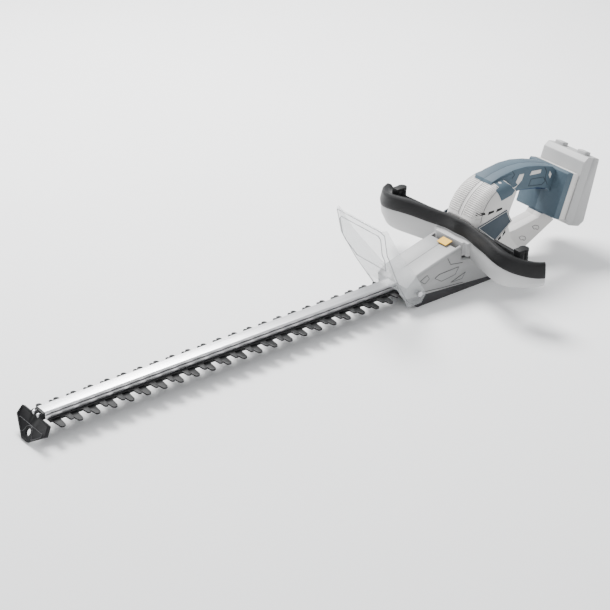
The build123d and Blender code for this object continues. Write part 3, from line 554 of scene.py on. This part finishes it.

# ---------------------------------------------------------------- soft grip
# Blue-grey soft rubber is moulded over the handle in two halves. It flares over
# the back of the dome, and pale hard inlays are set into each side.
# A darker rubber draws the grip's seams and split line: painted shade.
painted_seam_shade_rubber = finish(
    "shaded rubber", (0.018, 0.028, 0.038), (0.025, 0.038, 0.05), 0.6,
    cloud=16.0, grain=2600.0, bump=0.3,
)
grip_left = softened("grip_left", "tool", "soft_blue_grey", 1.2, soft_rubber)
grip_right = softened("grip_right", "tool", "soft_blue_grey", 1.2, soft_rubber)
grip_skin = skin_of(grip_left, grip_right, body_left, body_right)
for name, side in (("left", 1), ("right", -1)):
    inward = -side * LEFTWARD
    flare = [(-222, 0, 119), (-193, 0, 116.5), (-184.5, 0, 108)]
    flare += [(-189, 0, 94.5), (-208, 0, 98), (-224, 0, 110)]
    plaque(
        "grip_flare_" + name, "tool", "soft_blue_grey", soft_rubber, grip_skin, [flare],
        inward, 0.7,
    )
    inlays = [
        [(-238, 0, 114), (-247, 0, 113), (-243, 0, 104), (-236, 0, 99), (-232, 0, 104)],
        [(-236, 0, 99), (-243, 0, 104), (-234, 0, 97), (-224, 0, 93.6), (-222, 0, 95.5)],
        [(-261.5, 0, 113), (-280, 0, 110.5), (-279, 0, 105.5), (-258.5, 0, 107.5)],
        [(-297.5, 0, 103.5), (-301, 0, 98), (-298.5, 0, 92), (-295.5, 0, 98)],
    ]
    plaque(
        "grip_inlays_" + name, "tool", "white_plastic", white_moulding, grip_skin, inlays,
        inward, 0.45,
    )
    # The seams round the inlays and the flare are painted shade.
    seams = (
        ((-261.5, 100.8), (-286, 97.5), (-289.5, 90), (-283, 86.6), (-257, 91.5), (-261.5, 100.8)),
        ((-224, 123), (-229, 116), (-214, 103), (-206, 98)),
        ((-286, 114), (-291, 105), (-289, 94), (-294, 84)),
    )
    lines = [[at(x, side * FAR, z) for x, z in seam] for seam in seams]
    bead(
        "grip_seams_" + name, "tool", "soft_blue_grey", painted_seam_shade_rubber, grip_skin, lines,
        inward, 0.5,
    )
bead(
    "grip_split", "tool", "soft_blue_grey", painted_seam_shade_rubber, grip_skin,
    [[at(-188, 0, 160), at(-304, 0, 160)]], DOWN, 0.3,
)

# ---------------------------------------------------------------- trigger
# A long navy lever fills the underside of the handle. It turns on a pin at the
# back of the handle and a coil spring returns it.
navy_moulding = finish(
    "navy moulding", (0.006, 0.022, 0.075), (0.010, 0.034, 0.105), 0.34, coat=0.15,
    cloud=30.0, grain=1500.0, bump=0.12,
)
softened("trigger", "trigger_lever", "navy_plastic", 1.4, navy_moulding)

# ---------------------------------------------------------------- badges
# A slate panel with a pale border is pressed into each side of the dome. It is
# left blank.
slate = finish(
    "slate panel", (0.022, 0.036, 0.05), (0.03, 0.047, 0.065), 0.4, shine=0.25,
    cloud=20.0, bump=0.06,
)
border_corners = [(-148.5, 65), (-199.5, 76), (-208.8, 58), (-180, 37.5), (-148.5, 65)]
for name, side in (("left", 1), ("right", -1)):
    badge = softened("badge_" + name, "tool", "slate_badge", 0.3, slate)
    badge_skin = skin_of(badge)
    border = [at(x, side * FAR, z) for x, z in border_corners]
    bead(
        "badge_border_" + name, "tool", "white_plastic", white_moulding, badge_skin,
        [border], -side * LEFTWARD, 0.45,
    )

# ---------------------------------------------------------------- front handle
# A wide handle crosses the tool in front of the dome: a black soft-touch bar over
# a light shell. It bulges forwards at each hand and sweeps back to its ends.
black_grip = finish(
    "black soft grip", (0.005, 0.005, 0.0055), (0.012, 0.012, 0.0125), 0.5, shine=0.22,
    cloud=20.0, grain=2300.0, bump=0.22,
)
light_moulding = finish(
    "light grey moulding", (0.38, 0.38, 0.38), (0.43, 0.43, 0.43), 0.45,
    cloud=14.0, grain=1600.0, bump=0.12,
)
softened("front_handle_grip", "tool", "soft_black", 3.4, black_grip)
softened("front_handle_shell", "tool", "grey_plastic", 2.0, light_moulding)
dress("front_handle_core", dark_moulding)

# ---------------------------------------------------------------- squeeze paddles
# A black paddle behind each half of the handle turns on a steel pin in a lug. Both
# must be held before the blades will run. A blank yellow film is stuck to the slope
# of the gearbox cover in front of them.
for name in ("left", "right"):
    softened("lever_" + name, name + "_paddle", "black_plastic", 0.7, black_moulding)
    softened("lever_bracket_" + name, "tool", "black_plastic", 0.6, black_moulding)
label_film = finish(
    "yellow film", (0.72, 0.40, 0.01), (0.80, 0.46, 0.015), 0.45, shine=0.2,
    cloud=60.0, bump=0.05,
)
dress("warning_label", label_film)

# ---------------------------------------------------------------- hand guard
# A bent sheet of clear polycarbonate shields the hand from the blades. Two screws
# hold its foot to the gearbox cover.
clear_sheet = finish(
    "clear polycarbonate", (0.62, 0.64, 0.65), (0.70, 0.72, 0.73), 0.09, ior=1.58, alpha=0.22,
    shine=0.6, swing=0.03, cloud=12.0, grain=300.0, bump=0.02,
)
# The rounded edges of the sheet take a lighter, less clear finish: a painted highlight.
sheet_edge_highlight = finish(
    "painted sheet edge highlight", (0.45, 0.47, 0.48), (0.60, 0.62, 0.63), 0.12, ior=1.58, alpha=0.8,
    shine=0.6, swing=0.04, cloud=40.0, grain=300.0, bump=0.02,
)
sheet_line = finish(
    "moulded line in the sheet", (0.24, 0.25, 0.26), (0.34, 0.35, 0.36), 0.2, ior=1.58,
    alpha=0.8, shine=0.6, swing=0.04, cloud=40.0, grain=300.0, bump=0.02,
)
shield = softened("hand_guard", "tool", "clear_plastic", 1.0, clear_sheet, sheet_edge_highlight, corner=40.0)
shield_skin = skin_of(shield)
BACKWARD = Vector((-1, 0, 0))
IN_FRONT = 60
inset = [(-41, 70), (-42, 104), (-38, 108), (38, 108), (42, 104)]
inset += [(40, 70), (30, 48), (-30, 48), (-41, 70)]
border = [(-33, -14), (-36, 8), (-42, 38), (-47.5, 78), (-48.5, 112), (-45, 116.5), (45, 116.5)]
border += [(48.5, 112), (47.5, 78), (42, 38), (36, 8), (33, -14)]
bead(
    "shield_line", "tool", "clear_plastic", sheet_line, shield_skin,
    [[at(IN_FRONT, y, z) for y, z in inset], [at(IN_FRONT, y, z) for y, z in border]],
    BACKWARD, 0.6,
)

# ---------------------------------------------------------------- battery pack
# The pack slides down onto the socket at the back. Two pale mouldings hold the
# cells, and a sprung button on each side of the top lets it go.
pale_moulding = finish(
    "pale grey moulding", (0.36, 0.36, 0.36), (0.41, 0.41, 0.41), 0.47,
    cloud=14.0, grain=1600.0, bump=0.14,
)
PACK_SPLIT = socket_foot + socket_out * 0.0404
OUTER = 0.0399
OFF_JOINT = 0.001


def outer_corner(edge):
    """An edge down the pack's flank that isn't on the joint between its halves."""
    return all(
        abs(v.co.y) > OUTER and abs((v.co - PACK_SPLIT).dot(socket_out)) > OFF_JOINT
        for v in edge.verts
    )


for name, round_over in (("battery_front", 3.0), ("battery_back", 6.0)):
    softened(
        name, "battery_pack", "pale_plastic", 0.8, pale_moulding, bold=(round_over, outer_corner),
    )
wrap = finish(
    "cell wrap", (0.05, 0.13, 0.26), (0.07, 0.17, 0.33), 0.35, coat=0.2, cloud=60.0,
)
dress("battery_cells", wrap)
softened("latch_button_left", "left_latch", "pale_plastic", 0.9, pale_moulding)
softened("latch_button_right", "right_latch", "pale_plastic", 0.9, pale_moulding)

# ---------------------------------------------------------------- floor, light and camera
# The tool stands on a plain pale floor under soft studio light from behind and
# its right, with the camera high on its front left side.
FLOOR_HALF = 6.0
paper = finish(
    "pale paper", (0.90, 0.90, 0.90), (0.92, 0.92, 0.92), 0.85, cloud=3.0, grain=700.0, bump=0.02,
)
ground = bmesh.new()
bmesh.ops.create_grid(ground, x_segments=2, y_segments=2, size=FLOOR_HALF)
ground_mesh = bpy.data.meshes.new("floor")
ground.to_mesh(ground_mesh)
ground.free()
floor = bpy.data.objects.new("floor", ground_mesh)
ground_mesh.materials.append(paper)
bpy.context.scene.collection.objects.link(floor)

world = bpy.data.worlds.new("studio")
world.use_nodes = True
sky = world.node_tree.nodes["Background"]
sky.inputs["Color"].default_value = (0.96, 0.98, 1.0, 1)
sky.inputs["Strength"].default_value = 0.95
bpy.context.scene.world = world
lamps = (
    ("key", (-0.35, -1.2, 1.7), 0.9, 110.0),
    ("fill", (1.6, 1.0, 1.4), 1.8, 9.0),
)
for name, place, size, power in lamps:
    lamp = bpy.data.lights.new(name, "AREA")
    lamp.shape = "DISK"
    lamp.size = size
    lamp.energy = power
    holder = bpy.data.objects.new(name, lamp)
    holder.location = place
    holder.rotation_euler = (-Vector(place)).to_track_quat("-Z", "Y").to_euler()
    bpy.context.scene.collection.objects.link(holder)

FOCAL_LENGTH = 103.83
lens = bpy.data.cameras.new("camera")
lens.lens = FOCAL_LENGTH
lens.sensor_width = 36.0
lens.clip_start = 0.05
camera = bpy.data.objects.new("camera", lens)
camera.location = at(1351.79, 1596.72, 1101.0)
HEADING = math.radians(-127.6)
PITCH = math.radians(-28.19)
look = Vector((
    math.cos(HEADING) * math.cos(PITCH), math.sin(HEADING) * math.cos(PITCH), math.sin(PITCH),
))
camera.rotation_euler = look.to_track_quat("-Z", "Y").to_euler()
bpy.context.scene.collection.objects.link(camera)
bpy.context.scene.camera = camera
